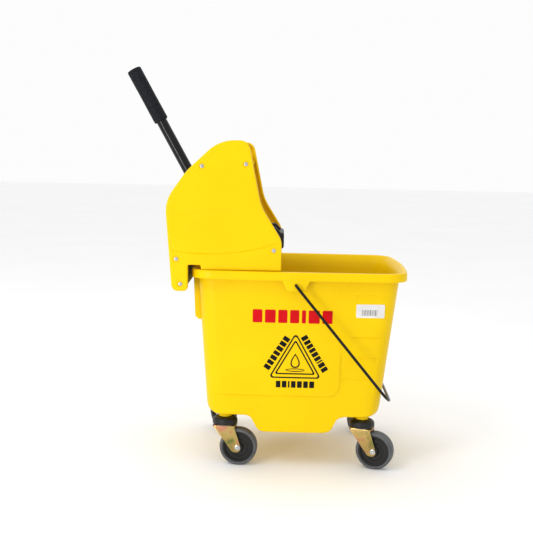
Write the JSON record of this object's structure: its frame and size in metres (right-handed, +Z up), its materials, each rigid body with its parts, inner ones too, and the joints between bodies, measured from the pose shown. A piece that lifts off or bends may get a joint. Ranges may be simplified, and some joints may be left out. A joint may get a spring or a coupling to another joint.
{
  "type": "mop bucket with wringer",
  "caption": "Yellow plastic mop bucket on swivel casters with a wire bail and a geared side-press wringer worked by a long lever with a rubber grip.",
  "frame": {"origin": "on the floor, below the centre of the bounding box", "axes": "+X towards the bail end, away from the wringer; +Y across; +Z up"},
  "size_m": [0.585, 0.3858, 0.8073],
  "materials": {
    "yellow_plastic": "moulded polypropylene, soft gloss",
    "black_plastic": "moulded nylon, satin",
    "black_rubber": "matt grip rubber with a fine grain",
    "black_enamel": "gloss black enamel on steel tube",
    "black_wire": "black coated steel wire",
    "yellow_zinc": "yellow chromate on zinc",
    "bright_steel": "bright zinc",
    "spring_steel": "oiled spring wire",
    "grey_tyre": "grey non-marking rubber"
  },
  "bodies": {
    "bucket": {"bucket_floor": "yellow_plastic", "bucket_rim": "yellow_plastic", "bucket_wall": "yellow_plastic", "caster_back_far_cap": "black_plastic", "caster_back_far_race": "bright_steel", "caster_back_far_stem": "bright_steel", "caster_back_near_cap": "black_plastic", "caster_back_near_race": "bright_steel", "caster_back_near_stem": "bright_steel", "caster_front_far_cap": "black_plastic", "caster_front_far_race": "bright_steel", "caster_front_far_stem": "bright_steel", "caster_front_near_cap": "black_plastic", "caster_front_near_race": "bright_steel", "caster_front_near_stem": "bright_steel"},
    "bail": {"bail_wire": "black_wire"},
    "wringer": {"back_cover": "yellow_plastic", "cheek_far": "yellow_plastic", "cheek_near": "yellow_plastic", "drain_grille": "yellow_plastic", "front_plate": "yellow_plastic", "hinge_rod": "bright_steel", "hook_rail": "black_plastic", "lift_handle": "black_plastic", "return_spring_far": "spring_steel", "return_spring_near": "spring_steel", "screws_far": "bright_steel", "screws_near": "bright_steel", "tie_bar": "bright_steel"},
    "lever": {"lever_grip": "black_rubber", "lever_pin": "bright_steel", "lever_shaft": "bright_steel", "lever_socket": "black_plastic", "lever_tube": "black_enamel", "pinion_far": "black_plastic", "pinion_near": "black_plastic", "shaft_clips": "spring_steel"},
    "press": {"press_plate": "yellow_plastic", "sector_far": "black_plastic", "sector_near": "black_plastic"},
    "swivel_back_near": {"caster_back_near_axle": "bright_steel", "caster_back_near_fork": "yellow_zinc"},
    "wheel_back_near": {"caster_back_near_hub": "black_plastic", "caster_back_near_tyre": "grey_tyre"},
    "swivel_front_near": {"caster_front_near_axle": "bright_steel", "caster_front_near_fork": "yellow_zinc"},
    "wheel_front_near": {"caster_front_near_hub": "black_plastic", "caster_front_near_tyre": "grey_tyre"},
    "swivel_back_far": {"caster_back_far_axle": "bright_steel", "caster_back_far_fork": "yellow_zinc"},
    "wheel_back_far": {"caster_back_far_hub": "black_plastic", "caster_back_far_tyre": "grey_tyre"},
    "swivel_front_far": {"caster_front_far_axle": "bright_steel", "caster_front_far_fork": "yellow_zinc"},
    "wheel_front_far": {"caster_front_far_hub": "black_plastic", "caster_front_far_tyre": "grey_tyre"}
  },
  "joints": [
    {"name": "bail_swing", "type": "hinge", "parent": "bucket", "child": "bail", "pos_m": [0.0655, 0, 0.38], "axis": [0, -1, 0], "range_deg": [0, 150]},
    {"name": "wringer_lift", "type": "slide", "parent": "bucket", "child": "wringer", "axis": [0, 0, 1], "range_m": [0, 0.1]},
    {"name": "lever_swing", "type": "hinge", "parent": "wringer", "child": "lever", "pos_m": [-0.133, 0, 0.539], "axis": [0, -1, 0], "range_deg": [0, 48], "stiffness_Nm_per_rad": 2, "springref_deg": -45.84},
    {"name": "press_swing", "type": "hinge", "parent": "wringer", "child": "press", "pos_m": [-0.0935, 0, 0.42887], "axis": [0, 1, 0], "range_deg": [0, 24]},
    {"name": "swivel_back_near", "type": "hinge", "parent": "bucket", "child": "swivel_back_near", "pos_m": [-0.0715, -0.115, 0.082], "axis": [0, 0, 1], "continuous": true},
    {"name": "roll_back_near", "type": "hinge", "parent": "swivel_back_near", "child": "wheel_back_near", "pos_m": [-0.04311, -0.11748, 0.0381], "axis": [0.0872, 0.9962, 0], "continuous": true},
    {"name": "swivel_front_near", "type": "hinge", "parent": "bucket", "child": "swivel_front_near", "pos_m": [0.2075, -0.115, 0.082], "axis": [0, 0, 1], "continuous": true},
    {"name": "roll_front_near", "type": "hinge", "parent": "swivel_front_near", "child": "wheel_front_near", "pos_m": [0.23428, -0.12475, 0.0381], "axis": [0.342, 0.9397, 0], "continuous": true},
    {"name": "swivel_back_far", "type": "hinge", "parent": "bucket", "child": "swivel_back_far", "pos_m": [-0.0715, 0.115, 0.082], "axis": [0, 0, 1], "continuous": true},
    {"name": "roll_back_far", "type": "hinge", "parent": "swivel_back_far", "child": "wheel_back_far", "pos_m": [-0.08982, 0.13683, 0.0381], "axis": [-0.766, -0.6428, 0], "continuous": true},
    {"name": "swivel_front_far", "type": "hinge", "parent": "bucket", "child": "swivel_front_far", "pos_m": [0.2075, 0.115, 0.082], "axis": [0, 0, 1], "continuous": true},
    {"name": "roll_front_far", "type": "hinge", "parent": "swivel_front_far", "child": "wheel_front_far", "pos_m": [0.22175, 0.13968, 0.0381], "axis": [-0.866, 0.5, 0], "continuous": true}
  ],
  "couplings": [
    {"joint": "press_swing", "follows": "lever_swing", "ratio": 0.5}
  ]
}
